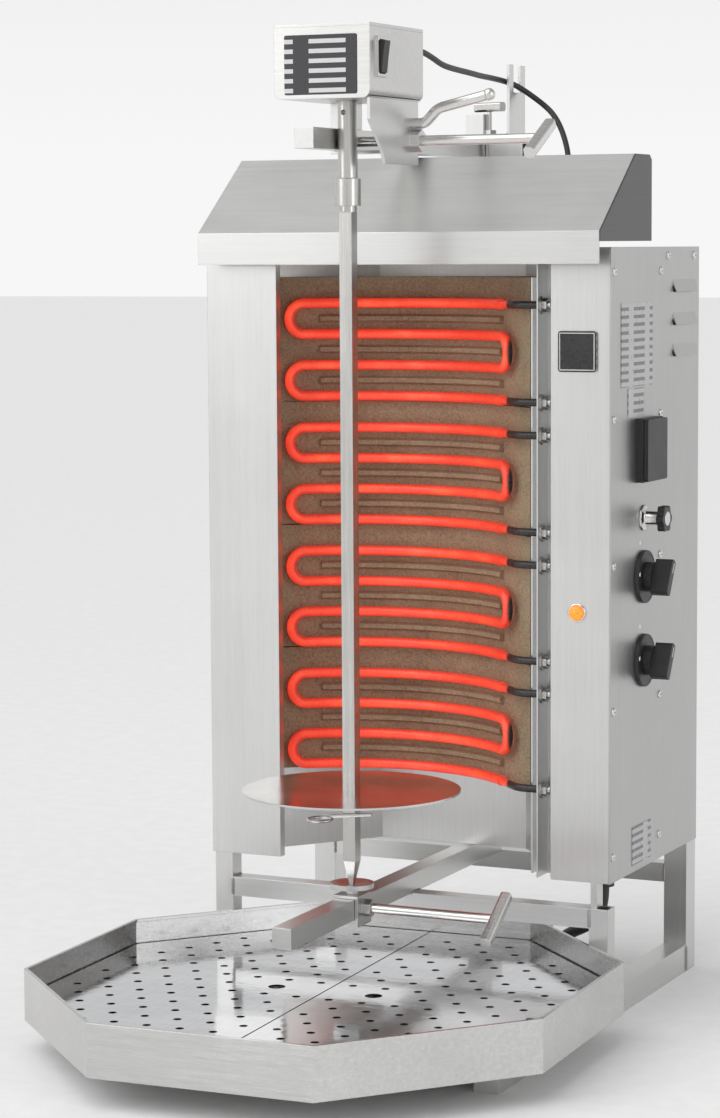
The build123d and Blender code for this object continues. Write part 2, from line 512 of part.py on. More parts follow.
def inside_tray(x, y, margin):
    """Whether a point is at least a margin inside the tray's octagon."""
    w, d = TRAY_HALF_W - margin, TRAY_HALF_D - margin
    if abs(x) > w or abs(y) > d:
        return False
    run, rise = TRAY_HALF_W - TRAY_FRONT, TRAY_HALF_D - TRAY_SIDE
    across = (abs(x) - TRAY_FRONT) / run + (abs(y) - TRAY_SIDE) / rise
    return across < 1 - margin / (run * rise) * hypot(run, rise)


# ---------------------------------------------------------------- cords
def route_path(points):
    """Straight runs joined by tangent arcs as large as their two runs allow."""
    radii = []
    for before, at, after in zip(points, points[1:], points[2:]):
        u, v = Vector(*at) - Vector(*before), Vector(*after) - Vector(*at)
        turn = radians(u.get_angle(v))
        radii.append(0.45 * min(u.length, v.length) / tan(turn / 2))
    print("arc radii", [round(r) for r in radii])
    return FilletPolyline(*points, radius=radii)


def cord_tube(points, diameter):
    path = route_path(points)
    print("route length", round(path.length))
    return sweep(Plane(origin=path @ 0, z_dir=path % 0) * Circle(diameter / 2), path=path)


MOTOR_CABLE = [(250, -47, 962), (250, -25, 962), (249, 5, 957), (247, 35, 951), (244, 75, 949),
               (240, 120, 948), (234, 165, 947), (229, 205, 947), (231, 238, 945),
               (241, 253, 940), (266, 266, 920), (280, 262, 907), (292, 255, 888),
               (301, 247, 864), (305, 238, 830), (306, 228, 790), (310, 217, 750),
               (322, 209, 716), (343, 205, 700), (367, 205, 700)]
MAINS_CORD = [(420, 36, 131), (420, 36, 116), (414, 37, 99), (401, 40, 87), (385, 48, 79),
              (368, 64, 69), (350, 80, 54), (330, 97, 37), (303, 110, 21), (270, 111, 10),
              (237, 105, 6.2), (203, 103, 6.2)]
COIL_AT, COIL_R = (165.0, 180.0), 72.0


def build_cords():
    parts["motor_cable"] = cord_tube(MOTOR_CABLE, CABLE_D)
    parts["mains_cord"] = cord_tube(MAINS_CORD, MAINS_D)
    coil = rod((*COIL_AT, 0), (0, 0, 1), COIL_R + 12, 24)
    coil -= rod((*COIL_AT, -1), (0, 0, 1), COIL_R - 12, 26)
    parts["cord_coil"] = coil
    plug_x, plug_y, plug_z = 228.0, COIL_AT[1] + COIL_R, 18.0
    body = rod((plug_x, plug_y, plug_z), (1, 0, 0), plug_z, 48)
    body += rod((plug_x - 26, plug_y, plug_z), (1, 0, 0), MAINS_D / 2, 27)
    pins = [rod((plug_x + 48, plug_y + offset, plug_z), (1, 0, 0), 2.4, 19) for offset in (-9.5, 9.5)]
    parts["cord_plug"] = body + pins


CORD_NODES = ("motor_cable", "mains_cord", "cord_coil", "cord_plug")


def write_parts():
    os.makedirs("parts", exist_ok=True)
    shapes = {}
    for name, shape in parts.items():
        solids = []
        for piece in (shape if isinstance(shape, list) else [shape]):
            solids += piece.solids()
        shapes[name] = solids
    fixed = [name for name in shapes if name not in CORD_NODES]
    boxes = [solid.bounding_box() for name in fixed for solid in shapes[name]]
    middle_x = (min(b.min.X for b in boxes) + max(b.max.X for b in boxes)) / 2
    middle_y = (min(b.min.Y for b in boxes) + max(b.max.Y for b in boxes)) / 2
    for name, group in shapes.items():
        moved = [Pos(-middle_x, -middle_y, 0) * solid for solid in group]
        for solid in moved:
            solid.label = name
        whole = moved[0] if len(moved) == 1 else Compound(children=moved)
        export_step(whole, "parts/" + name + ".step")
    return middle_x, middle_y


build_frame()
build_panels()
build_control_box()
build_heater()
build_controls()
build_motor_head()
build_spit()
build_arm_clamp()
build_tray()
build_cords()
ORIGIN_X, ORIGIN_Y = write_parts()
print("base centre at", round(ORIGIN_X, 2), round(ORIGIN_Y, 2), "nodes", len(parts))
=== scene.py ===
import bpy
import bmesh
from math import cos, pi, radians, sin, sqrt
from mathutils import Matrix, Vector, noise


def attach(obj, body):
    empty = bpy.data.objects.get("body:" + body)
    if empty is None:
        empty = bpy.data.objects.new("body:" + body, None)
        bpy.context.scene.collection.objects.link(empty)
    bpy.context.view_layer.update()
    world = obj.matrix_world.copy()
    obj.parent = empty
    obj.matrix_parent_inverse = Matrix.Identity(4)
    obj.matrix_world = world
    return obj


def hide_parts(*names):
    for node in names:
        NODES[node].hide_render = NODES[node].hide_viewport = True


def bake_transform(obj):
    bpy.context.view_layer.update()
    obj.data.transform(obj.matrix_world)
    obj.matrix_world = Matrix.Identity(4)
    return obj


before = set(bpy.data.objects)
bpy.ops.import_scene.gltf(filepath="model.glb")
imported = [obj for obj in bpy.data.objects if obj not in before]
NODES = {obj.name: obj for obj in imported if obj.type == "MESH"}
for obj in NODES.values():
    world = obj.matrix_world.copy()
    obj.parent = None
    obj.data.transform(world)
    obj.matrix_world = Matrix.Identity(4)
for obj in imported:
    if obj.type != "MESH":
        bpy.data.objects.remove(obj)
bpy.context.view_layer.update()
ORIGIN = Vector((219.0, -103.94, 0.0))


def at(x, y, z):
    """A point given in millimetres from the stand's left, front, floor corner."""
    return (Vector((x, y, z)) - ORIGIN) / 1000


# ---------------------------------------------------------------- materials
class Paint:
    """A node material built up from small steps on one Principled shader."""

    def __init__(self, name, **sockets):
        self.material = bpy.data.materials.new(name)
        self.material.use_nodes = True
        self.tree = self.material.node_tree
        self.tree.nodes.clear()
        self.shader = self.node("ShaderNodeBsdfPrincipled")
        output = self.node("ShaderNodeOutputMaterial")
        self.link(self.shader.outputs[0], output.inputs[0])
        for socket, value in sockets.items():
            self.shader.inputs[socket.replace("_", " ")].default_value = value
        self.place = self.node("ShaderNodeTexCoord").outputs["Object"]

    def node(self, kind, **settings):
        made = self.tree.nodes.new(kind)
        for key, value in settings.items():
            setattr(made, key, value)
        return made

    def link(self, source, target):
        self.tree.links.new(source, target)

    def noise(self, scale, stretch=(1, 1, 1), detail=3.0, rough=0.55):
        mapping = self.node("ShaderNodeMapping")
        mapping.inputs["Scale"].default_value = stretch
        self.link(self.place, mapping.inputs["Vector"])
        texture = self.node("ShaderNodeTexNoise")
        texture.inputs["Scale"].default_value = scale
        texture.inputs["Detail"].default_value = detail
        texture.inputs["Roughness"].default_value = rough
        self.link(mapping.outputs[0], texture.inputs["Vector"])
        return texture.outputs["Fac"]

    def ramp(self, value, stops):
        ramp = self.node("ShaderNodeValToRGB")
        bar = ramp.color_ramp.elements
        while len(bar) < len(stops):
            bar.new(0.5)
        for element, (position, colour) in zip(bar, stops):
            element.position = position
            element.color = (*colour, 1) if len(colour) == 3 else colour
        self.link(value, ramp.inputs[0])
        return ramp.outputs[0]

    def remap(self, value, low, high, from_low=0.3, from_high=0.7):
        ramp = self.node("ShaderNodeMapRange")
        for socket, number in zip(("From Min", "From Max", "To Min", "To Max"),
                                  (from_low, from_high, low, high)):
            ramp.inputs[socket].default_value = number
        self.link(value, ramp.inputs["Value"])
        return ramp.outputs[0]

    def math(self, operation, first, second):
        step = self.node("ShaderNodeMath", operation=operation)
        for socket, value in zip(step.inputs, (first, second)):
            if isinstance(value, (int, float)):
                socket.default_value = value
            else:
                self.link(value, socket)
        return step.outputs[0]

    def mix(self, factor, first, second):
        mixer = self.node("ShaderNodeMix", data_type="RGBA")
        for socket, value in zip((mixer.inputs[0], mixer.inputs[6], mixer.inputs[7]),
                                 (factor, first, second)):
            if isinstance(value, tuple):
                socket.default_value = (*value, 1)
            else:
                self.link(value, socket)
        return mixer.outputs[2]

    def axis(self, index):
        parts = self.node("ShaderNodeSeparateXYZ")
        self.link(self.place, parts.inputs[0])
        return parts.outputs[index]

    def step(self, value, edge, soft):
        """0 below an edge and 1 above it, over a soft width."""
        return self.remap(value, 0, 1, edge - soft, edge + soft)

    def colour(self, source):
        self.link(source, self.shader.inputs["Base Color"])

    def rough(self, source):
        self.link(source, self.shader.inputs["Roughness"])

    def bump(self, heights, round_edges=0.0):
        """Bumps from (height, distance) pairs, over edges softened by a small radius."""
        normal = None
        if round_edges:
            bevel = self.node("ShaderNodeBevel", samples=4)
            bevel.inputs["Radius"].default_value = round_edges
            normal = bevel.outputs[0]
        for height, distance in heights:
            bump = self.node("ShaderNodeBump")
            bump.inputs["Distance"].default_value = distance
            self.link(height, bump.inputs["Height"])
            if normal is not None:
                self.link(normal, bump.inputs["Normal"])
            normal = bump.outputs[0]
        self.link(normal, self.shader.inputs["Normal"])


def steel(name, light, dark, grain, rough=(0.27, 0.38), edge=0.0009, scratch=0.00002):
    """Brushed stainless steel whose lines run along one axis."""
    stretch = [0.02 if index == grain else 1.0 for index in range(3)]
    paint = Paint(name, Metallic=1.0)
    lines = paint.noise(1500, stretch, 2.0)
    streaks = paint.noise(260, stretch, 3.0)
    smudge = paint.noise(7.0, (1, 1, 1), 4.0, 0.6)
    worn = paint.math("ADD", paint.math("MULTIPLY", lines, 0.35),
                      paint.math("MULTIPLY", streaks, 0.30))
    tone = paint.math("ADD", worn, paint.math("MULTIPLY", smudge, 0.35))
    paint.colour(paint.ramp(tone, [(0.34, dark), (0.66, light)]))
    paint.rough(paint.remap(tone, *rough))
    paint.bump([(lines, scratch), (streaks, scratch)], edge)
    return paint.material


def polished(name, light, dark, rough=(0.03, 0.14)):
    """Smooth stainless sheet with faint rolling lines, smears and fat spots."""
    paint = Paint(name, Metallic=1.0)
    lines = paint.noise(600, (1, 0.03, 1), 2.0)
    smear = paint.noise(9, (1, 1.8, 1), 5.0, 0.65)
    spots = paint.noise(120, (1, 1, 1), 2.0)
    tone = paint.math("ADD", paint.math("MULTIPLY", smear, 0.7), paint.math("MULTIPLY", lines, 0.3))
    paint.colour(paint.ramp(tone, [(0.36, dark), (0.62, light)]))
    wet = paint.math("ADD", paint.math("MULTIPLY", tone, 0.7), paint.math("MULTIPLY", spots, 0.3))
    paint.rough(paint.remap(wet, *rough))
    paint.bump([(lines, 0.00002), (smear, 0.0004)])
    return paint.material


def firebrick():
    paint = Paint("firebrick", Roughness=0.9)
    coarse = paint.noise(14, detail=5.0, rough=0.65)
    grains = paint.noise(420, detail=3.0, rough=0.7)
    pores = paint.noise(1100, detail=2.0)
    base = paint.ramp(coarse, [(0.30, (0.235, 0.165, 0.100)), (0.52, (0.335, 0.245, 0.150)),
                               (0.72, (0.415, 0.315, 0.205))])
    speckle = paint.ramp(grains, [(0.36, (0.14, 0.095, 0.06)), (0.50, (0.35, 0.26, 0.165)),
                                  (0.68, (0.52, 0.42, 0.29))])
    paint.colour(paint.mix(paint.remap(pores, 0.25, 0.60), base, speckle))
    paint.rough(paint.remap(grains, 0.82, 0.97))
    paint.bump([(grains, 0.0007), (pores, 0.0003), (coarse, 0.0012)], 0.0012)
    return paint.material


LEAD_FROM, NUTS_FROM = 0.0985, 0.1405       # x where an element's cold leads and nuts start


def element():
    """A tube heater: glowing passes, dark cold leads, then bright nuts and washers."""
    paint = Paint("hot_element", Roughness=0.55)
    along = paint.axis(0)
    cold = paint.step(along, LEAD_FROM, 0.0015)
    nuts = paint.step(along, NUTS_FROM, 0.0004)
    mottle = paint.noise(26, detail=4.0, rough=0.6)
    scale = paint.noise(500, detail=2.0)
    hot = paint.ramp(mottle, [(0.32, (0.62, 0.018, 0.006)), (0.52, (0.78, 0.038, 0.012)),
                              (0.70, (0.95, 0.095, 0.028))])
    oxide = paint.ramp(scale, [(0.35, (0.010, 0.010, 0.010)), (0.7, (0.045, 0.042, 0.040))])
    zinc = paint.ramp(scale, [(0.35, (0.42, 0.42, 0.40)), (0.7, (0.70, 0.70, 0.68))])
    heated = paint.ramp(scale, [(0.3, (0.34, 0.05, 0.03)), (0.7, (0.50, 0.09, 0.05))])
    surface = paint.mix(cold, heated, oxide)
    paint.colour(paint.mix(nuts, surface, zinc))
    paint.link(nuts, paint.shader.inputs["Metallic"])
    paint.rough(paint.remap(scale, 0.26, 0.42))
    # Painted highlight and shade: the glow is hot orange where the tube faces the front (-Y) and
    # dark red on its top and bottom, standing in for shading across the tube.
    facing = paint.node("ShaderNodeSeparateXYZ")
    paint.link(paint.node("ShaderNodeTexCoord").outputs["Normal"], facing.inputs[0])
    front = paint.math("MULTIPLY", facing.outputs[1], -1.0)
    painted_highlight = paint.remap(front, 0.0, 1.0, 0.35, 1.0)
    glow_with_painted_highlight = paint.mix(painted_highlight, (0.36, 0.004, 0.002), hot)
    glow = paint.mix(cold, glow_with_painted_highlight, (0.0, 0.0, 0.0))
    paint.link(glow, paint.shader.inputs["Emission Color"])
    paint.shader.inputs["Emission Strength"].default_value = 1.05
    paint.bump([(scale, 0.0002)])
    return paint.material


def plastic(name, light, dark, rough=(0.32, 0.5), grain=900, edge=0.0008):
    paint = Paint(name)
    fine = paint.noise(grain, detail=2.0)
    wear = paint.noise(30, detail=4.0)
    tone = paint.math("ADD", paint.math("MULTIPLY", fine, 0.5), paint.math("MULTIPLY", wear, 0.5))
    paint.colour(paint.ramp(tone, [(0.35, dark), (0.65, light)]))
    paint.rough(paint.remap(tone, *rough))
    paint.bump([(fine, 0.00012)], edge)
    return paint.material


def printed_label(name, paper, ink, pitch):
    """A plate with rows of plain bars, like a form that has been left blank."""
    paint = Paint(name)
    rows = paint.math("FRACT", paint.math("DIVIDE", paint.axis(2), pitch), 0.0)
    across = paint.math("ADD", paint.axis(0), paint.axis(1))
    column = paint.math("FRACT", paint.math("DIVIDE", across, pitch * 6), 0.0)
    bar = paint.math("MULTIPLY", paint.math("GREATER_THAN", rows, 0.55),
                     paint.math("GREATER_THAN", column, 0.30))
    wear = paint.noise(160, detail=3.0)
    sheet = paint.ramp(wear, [(0.3, tuple(0.86 * c for c in paper)), (0.7, paper)])
    paint.colour(paint.mix(bar, sheet, ink))
    paint.rough(paint.remap(wear, 0.25, 0.45))
    paint.bump([(bar, 0.00005)])
    return paint.material


def lamp_glass():
    paint = Paint("lamp_glass", Roughness=0.12)
    ribs = paint.noise(900, detail=1.0)
    paint.colour(paint.ramp(ribs, [(0.35, (0.75, 0.10, 0.01)), (0.65, (1.0, 0.28, 0.03))]))
    glow = paint.ramp(ribs, [(0.30, (0.90, 0.11, 0.008)), (0.75, (1.0, 0.30, 0.03))])
    paint.link(glow, paint.shader.inputs["Emission Color"])
    paint.shader.inputs["Emission Strength"].default_value = 1.1
    paint.bump([(ribs, 0.0002)])
    return paint.material


LIGHT, DARK = (0.70, 0.70, 0.69), (0.615, 0.612, 0.605)
STEEL_X = steel("brushed_steel_x", LIGHT, DARK, 0)
STEEL_Y = steel("brushed_steel_y", LIGHT, DARK, 1)
STEEL_Z = steel("brushed_steel_z", LIGHT, DARK, 2)
PANEL = steel("side_panel_steel", (0.55, 0.55, 0.545), (0.465, 0.465, 0.46), 2, (0.30, 0.44))
# Painted shade: the right hood end is given near-black steel because the inside of the hood there
# lies in shadow.
SHADE = steel("hood_end_painted_shade_steel", (0.15, 0.15, 0.155), (0.085, 0.085, 0.09), 1, (0.30, 0.45))
BRIGHT = steel("turned_steel", (0.80, 0.79, 0.77), (0.60, 0.595, 0.58), 0, (0.14, 0.28), 0.0005)
SPIT = steel("spit_steel", (0.66, 0.65, 0.63), (0.44, 0.435, 0.42), 2, (0.16, 0.32), 0.0006)
GRATE = polished("tray_sheet", (0.74, 0.745, 0.76), (0.60, 0.605, 0.62))
DISC = polished("plate_sheet", (0.72, 0.71, 0.70), (0.52, 0.51, 0.50), (0.10, 0.24))
CAST = plastic("cast_motor", (0.42, 0.43, 0.44), (0.30, 0.31, 0.32), (0.4, 0.6))
BLACK = plastic("black_plastic", (0.022, 0.022, 0.022), (0.010, 0.010, 0.010))
CABLE = plastic("cable_rubber", (0.030, 0.030, 0.031), (0.012, 0.012, 0.012), (0.38, 0.55), 1400, 0)
WHITE = plastic("white_mark", (0.86, 0.86, 0.84), (0.72, 0.72, 0.70), (0.35, 0.5))
LABEL = printed_label("rating_plate", (0.50, 0.50, 0.50), (0.17, 0.17, 0.18), 0.0078)
PLATE = printed_label("motor_plate", (0.040, 0.040, 0.045), (0.62, 0.62, 0.62), 0.0092)
WELD = plastic("weld_bead", (0.52, 0.51, 0.49), (0.22, 0.21, 0.20), (0.28, 0.5), 700, 0)
WELD.node_tree.nodes["Principled BSDF"].inputs["Metallic"].default_value = 1.0

FINISH = {
    STEEL_X: "front_crossbar rear_crossbar hood_sheet control_base lower_bracket motor_bracket",
    STEEL_Y: "rail_left rail_right lower_arm upper_arm motor_cover",
    STEEL_Z: "rear_post_left rear_post_right front_post_left front_leg_right mast cable_fork "
             "left_column back_reflector terminal_strip control_front_panel",
    PANEL: "control_side_cover control_rear_cover",
    SHADE: "hood_end_right",
    BRIGHT: "upper_clamp_screw lower_clamp_screw arm_clamp_screw push_handle cover_screws",
    SPIT: "spit_bar drive_shaft",
    GRATE: "grate_left grate_right",
    DISC: "meat_plate",
    CAST: "gear_motor",
    BLACK: "socket_base socket_lid knob_1 knob_2 star_knob rocker cable_glands inner_controls "
           "cord_plug switch_bezels",
    LABEL: "label_plates",
    firebrick(): "firebrick_1 firebrick_2 firebrick_3 firebrick_4",
    element(): "heating_element_1 heating_element_2 heating_element_3 heating_element_4",
    lamp_glass(): "signal_lamp",
    steel("motor_case_steel", (0.74, 0.735, 0.72), (0.58, 0.575, 0.56), 0): "motor_housing",
    steel("tray_steel", (0.70, 0.70, 0.69), (0.50, 0.50, 0.495), 0, (0.16, 0.32)): "drip_tray",
    CABLE: "motor_cable mains_cord cord_coil",
}


def dress(thing, material):
    if not thing.data.materials:
        thing.data.materials.append(material)
    for holder in thing.material_slots:
        holder.material = material


for finish, names in FINISH.items():
    for name in names.split():
        dress(NODES[name], finish)


# ---------------------------------------------------------------- mesh helpers
def made(name, mesh, material, body, slot):
    mesh.name = name
    piece = bpy.data.objects.new(name, mesh)
    bpy.context.scene.collection.objects.link(piece)
    dress(piece, material)
    if body:
        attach(piece, body)
    return piece


def mesh_of(vertices, faces, smooth=True):
    mesh = bpy.data.meshes.new("mesh")
    mesh.from_pydata([tuple(v) for v in vertices], [], faces)
    mesh.validate()
    for face in mesh.polygons:
        face.use_smooth = smooth
    return mesh


def frame_at(point, direction):
    """A matrix whose z axis points along a direction."""
    turn = Vector(direction).to_track_quat("Z", "Y").to_matrix().to_4x4()
    return Matrix.Translation(point) @ turn


def turned(profile, places, sides=40, dent=None):
    """Lathed shapes from a (radius, height) profile in mm; a dent lowers each point."""
    vertices, faces = [], []
    for matrix in places:
        start = len(vertices)
        for radius, height in profile:
            for k in range(sides):
                angle = 2 * pi * k / sides
                x, y = radius * cos(angle), radius * sin(angle)
                low = dent(x, y, height) if dent else height
                vertices.append(matrix @ (Vector((x, y, low)) / 1000))
        for ring in range(len(profile) - 1):
            for k in range(sides):
                a, b = start + ring * sides + k, start + ring * sides + (k + 1) % sides
                faces.append((a, b, b + sides, a + sides))
    return mesh_of(vertices, faces)


def tube_mesh(points, radius, sides=14, ripple=None):
    """A round tube along a line of points, with closed ends."""
    vertices, faces = [], []
    side = None
    for i, point in enumerate(points):
        ahead = points[min(i + 1, len(points) - 1)] - points[max(i - 1, 0)]
        ahead.normalize()
        if side is None:
            side = ahead.orthogonal().normalized()
        side = (side - ahead * side.dot(ahead)).normalized()
        over = ahead.cross(side)
        size = radius * (ripple(i) if ripple else 1.0)
        for k in range(sides):
            angle = 2 * pi * k / sides
            vertices.append(point + (side * cos(angle) + over * sin(angle)) * size)
    for i in range(len(points) - 1):
        for k in range(sides):
            a, b = i * sides + k, i * sides + (k + 1) % sides
            faces.append((a, b, b + sides, a + sides))
    faces.append(tuple(range(sides))[::-1])
    last = (len(points) - 1) * sides
    faces.append(tuple(range(last, last + sides)))
    return mesh_of(vertices, faces)


def plate_mesh(corner, across, up, out, width, height, thick, radius):
    """A thin plate with rounded corners and a softened front edge."""
    outline = []
    for cx, cy, start in ((width - radius, radius, -90), (width - radius, height - radius, 0),
                          (radius, height - radius, 90), (radius, radius, 180)):
        for k in range(7):
            angle = radians(start + 15 * k)
            outline.append((cx + radius * cos(angle), cy + radius * sin(angle)))
    painted_highlight = (width / 2, height / 2)
    vertices = []
    for shrink, lift in ((1.0, 0.0), (1.0, thick * 0.6), (0.985, thick)):
        for u, v in outline:
            x = painted_highlight[0] + (u - painted_highlight[0]) * shrink
            y = painted_highlight[1] + (v - painted_highlight[1]) * shrink
            spot = corner + across * (x / 1000) + up * (y / 1000) + out * (lift / 1000)
            vertices.append(spot)
    count = len(outline)
    faces = []
    for ring in range(2):
        for k in range(count):
            a, b = ring * count + k, ring * count + (k + 1) % count
            faces.append((a, b, b + count, a + count))
    faces.append(tuple(range(2 * count, 3 * count)))
    return mesh_of(vertices, faces, smooth=False)


# ---------------------------------------------------------------- screws
def cross_dent(x, y, height):
    arm = min(abs(x), abs(y))
    reach = max(abs(x), abs(y))
    return height - 1.1 if arm < 0.55 and reach < 2.5 and height > 1.0 else height


HEAD = [(4.25, 0.0), (4.25, 0.7), (3.9, 1.3)] + [
    (r, 1.3 + 0.85 * sqrt(max(0.0, 1 - (r / 3.9) ** 2))) for r in
    (3.5, 3.1, 2.8, 2.55, 2.3, 2.0, 1.7, 1.4, 1.1, 0.85, 0.6, 0.3, 0.01)]
KNOB_Z = (438, 353)
SIDE_SCREWS = [(y, z) for y in (8, 145) for z in (745, 600.5, 456, 311.5, 165.7)]
SIDE_SCREWS += [(167, 760), (248, 760)]
side_places = [frame_at(at(440, y, z), (1, 0, 0)) for y, z in SIDE_SCREWS]
heads = made("side_screw_heads", turned(HEAD, side_places, 48, cross_dent), BRIGHT, "stand",
             "zinc")
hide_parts("cover_screws")
BACK_SCREWS = [(x, 122, 815) for x in (20, 219, 418)] + [(409, 265, z) for z in (175, 455, 735)]
made("back_screw_heads",
     turned(HEAD, [frame_at(at(*spot), (0, 1, 0)) for spot in BACK_SCREWS], 48, cross_dent),
     BRIGHT, "stand", "zinc")
bezel_screws = [frame_at(at(443.6, 95 + dy, z + dz), (1, 0, 0))
                for z in KNOB_Z for dy, dz in ((-20, 4), (20, -4))]
made("bezel_screw_heads", turned([(r * 0.62, h * 0.7) for r, h in HEAD], bezel_screws, 48, None),
     BRIGHT, "stand", "zinc")


# ---------------------------------------------------------------- marks on the controls
DOT = [(2.3, 0.0), (2.3, 0.35), (1.9, 0.55), (0.01, 0.6)]
made("index_dots", turned(DOT, [frame_at(at(439.9, 85, z), (1, 0, 0)) for z in (473, 388)], 24),
     WHITE, "stand", "label")
GRIP_TILT = radians(-30)
for number, z in enumerate(KNOB_Z, 1):
    grip_up = Vector((0, -sin(GRIP_TILT), cos(GRIP_TILT)))
    grip_across = Vector((0, cos(GRIP_TILT), sin(GRIP_TILT)))
    line = plate_mesh(at(470.0, 95, z) + grip_up * 0.005, grip_across, grip_up, Vector((1, 0, 0)),
                      1.2, 11, 0.3, 0.5)
    made(f"knob_pointer_{number}", line, WHITE, f"knob_{number}", "label")
STAR_CAP = [(7.2, 0.0), (7.2, 0.5), (6.4, 1.1), (3.0, 1.4), (0.01, 1.5)]
made("star_knob_cap", turned(STAR_CAP, [frame_at(at(465.3, 95, 497.5), (1, 0, 0))]), BRIGHT,
     "star_knob", "zinc")
COLLAR = [(13.2, 0.2), (13.2, 1.4), (12.0, 2.3), (8.0, 2.8), (7.0, 4.5), (6.95, 16.0)]
made("star_knob_collar", turned(COLLAR, [frame_at(at(440.1, 95, 497.5), (1, 0, 0))]), BRIGHT,
     "star_knob", "zinc")
BEZEL_RIM = [(26.9, 0.1), (26.9, 3.2), (25.8, 4.4), (24.6, 4.2), (24.3, 3.9)]
made("bezel_rims", turned(BEZEL_RIM, [frame_at(at(440, 95, z), (1, 0, 0)) for z in KNOB_Z], 64),
     BLACK, "stand", "black_plastic")
LAMP_RIM = [(9.4, 0.1), (9.4, 1.4), (8.6, 2.2), (7.5, 2.2), (7.3, 1.2)]
made("lamp_rim", turned(LAMP_RIM, [frame_at(at(405, 0, 410), (0, -1, 0))], 48), BRIGHT, "stand",
     "zinc")
LENS = [(7.1, 3.6), (6.9, 4.6), (6.0, 5.6), (4.2, 6.4), (2.0, 6.8), (0.01, 6.9)]
made("lamp_lens", turned(LENS, [frame_at(at(405, 0, 410), (0, -1, 0))], 48),
     NODES["signal_lamp"].material_slots[0].material, "stand", "lamp")
X, Y, Z = Vector((1, 0, 0)), Vector((0, 1, 0)), Vector((0, 0, 1))
made("motor_rating_plate", plate_mesh(at(177, -181.05, 914), X, Z, -Y, 76, 56, 0.6, 2.0), PLATE,
     "motor_head", "label")
made("front_badge", plate_mesh(at(385.5, -2.4, 647.5), X, Z, -Y, 40, 40, 0.5, 3.0),
     plastic("badge_black", (0.030, 0.030, 0.032), (0.016, 0.016, 0.017), (0.2, 0.4), 300, 0),
     "stand", "label")
BORDER = [(2, 2), (38, 2), (38, 38), (2, 38), (2, 2)]
made("front_badge_border",
     tube_mesh([at(385.5 + u, -3.0, 647.5 + v) for u, v in BORDER], 0.0006, 8), WHITE, "stand",
     "label")


# ---------------------------------------------------------------- welds
def bead(name, runs, body, radius=0.0017):
    """Rippled weld beads along straight runs."""
    group = bmesh.new()
    for number, (start, end) in enumerate(runs):
        first, last = at(*start), at(*end)
        count = max(8, int((last - first).length / 0.0011))
        line = []
        for i in range(count + 1):
            spot = first.lerp(last, i / count)
            line.append(spot + noise.noise_vector(spot * 400 + Vector((number, 0, 0))) * 0.0003)
        ends = tube_mesh(line, radius, 10, lambda i: (0.82 + 0.22 * abs(sin(i * 1.1)))
                         * (0.5 if i in (0, count) else 1.0))
        group.from_mesh(ends)
        bpy.data.meshes.remove(ends)
    mesh = bpy.data.meshes.new(name)
    group.to_mesh(mesh)
    group.free()
    return made(name, mesh, WELD, body, "stainless")


bead("frame_welds", [
    ((206, 1, 114), (206, 19, 114)), ((226, 1, 114), (226, 19, 114)),
    ((206, 0, 114), (226, 0, 114)), ((206, 240, 115), (206, 259, 115)),
    ((1, 0, 29), (19, 0, 29)), ((20, 1, 29), (20, 19, 29)),
    ((419, 0, 29), (437, 0, 29)), ((418, 1, 29), (418, 19, 29)),
    ((20, 0, 95), (20, 0, 113)), ((418, 0, 95), (418, 0, 113)),
    ((20, 1, 114), (20, 19, 114)), ((418, 1, 94), (418, 19, 94)),
    ((0, 240, 1), (0, 240, 28)), ((25, 241, 29), (25, 258, 29)),
    ((413, 240, 1), (413, 240, 28)), ((438, 240, 1), (438, 240, 28)),
    ((25, 240, 96), (25, 240, 114)), ((413, 240, 96), (413, 240, 114)),
    ((186, 241, 115), (205, 241, 115)), ((186, 240, 865), (186, 240, 883)),
    ((206, 240, 865), (206, 240, 883)), ((238, 229, 889), (238, 271, 889))], "stand")


# ---------------------------------------------------------------- cords
MOTOR_CABLE = [(250, -47, 962), (250, -25, 962), (249, 5, 957), (247, 35, 951), (244, 75, 949),
               (240, 120, 948), (234, 165, 947), (229, 205, 947), (231, 238, 945),
               (241, 253, 940), (266, 266, 920), (280, 262, 907), (292, 255, 888),
               (301, 247, 864), (305, 238, 830), (306, 228, 790), (310, 217, 750),
               (322, 209, 716), (343, 205, 700), (367, 205, 700)]
MAINS_CORD = [(420, 36, 131), (420, 36, 116), (414, 37, 99), (401, 40, 87), (385, 48, 79),
              (368, 64, 69), (350, 80, 54), (330, 97, 37), (303, 110, 21), (270, 111, 10),
              (237, 105, 6.2), (203, 103, 6.2)]


def route(name, points, radius=0.0):
    """A smooth curve whose control points are the given points."""
    curve = bpy.data.curves.new(name, "CURVE")
    curve.dimensions = "3D"
    curve.resolution_u = 10
    curve.bevel_depth = radius
    curve.bevel_resolution = 5
    curve.use_fill_caps = True
    spline = curve.splines.new("NURBS")
    spline.points.add(len(points) - 1)
    for control, point in zip(spline.points, points):
        control.co = (*at(*point), 1)
    spline.order_u = 3
    spline.use_endpoint_u = True
    return curve


def line_of(points):
    """The points along a route's own smooth line."""
    holder = bpy.data.objects.new("line", route("line", points))
    bpy.context.scene.collection.objects.link(holder)
    bpy.context.view_layer.update()
    shown = holder.evaluated_get(bpy.context.evaluated_depsgraph_get())
    mesh = bpy.data.meshes.new_from_object(shown)
    line = [v.co.copy() for v in mesh.vertices]
    bpy.data.meshes.remove(mesh)
    bpy.data.objects.remove(holder)
    return line


cable_line = line_of(MOTOR_CABLE)
cable = made("motor_cable_tube", tube_mesh(cable_line, 0.003), CABLE, None, "cable_rubber")
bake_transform(cable)
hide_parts("motor_cable")

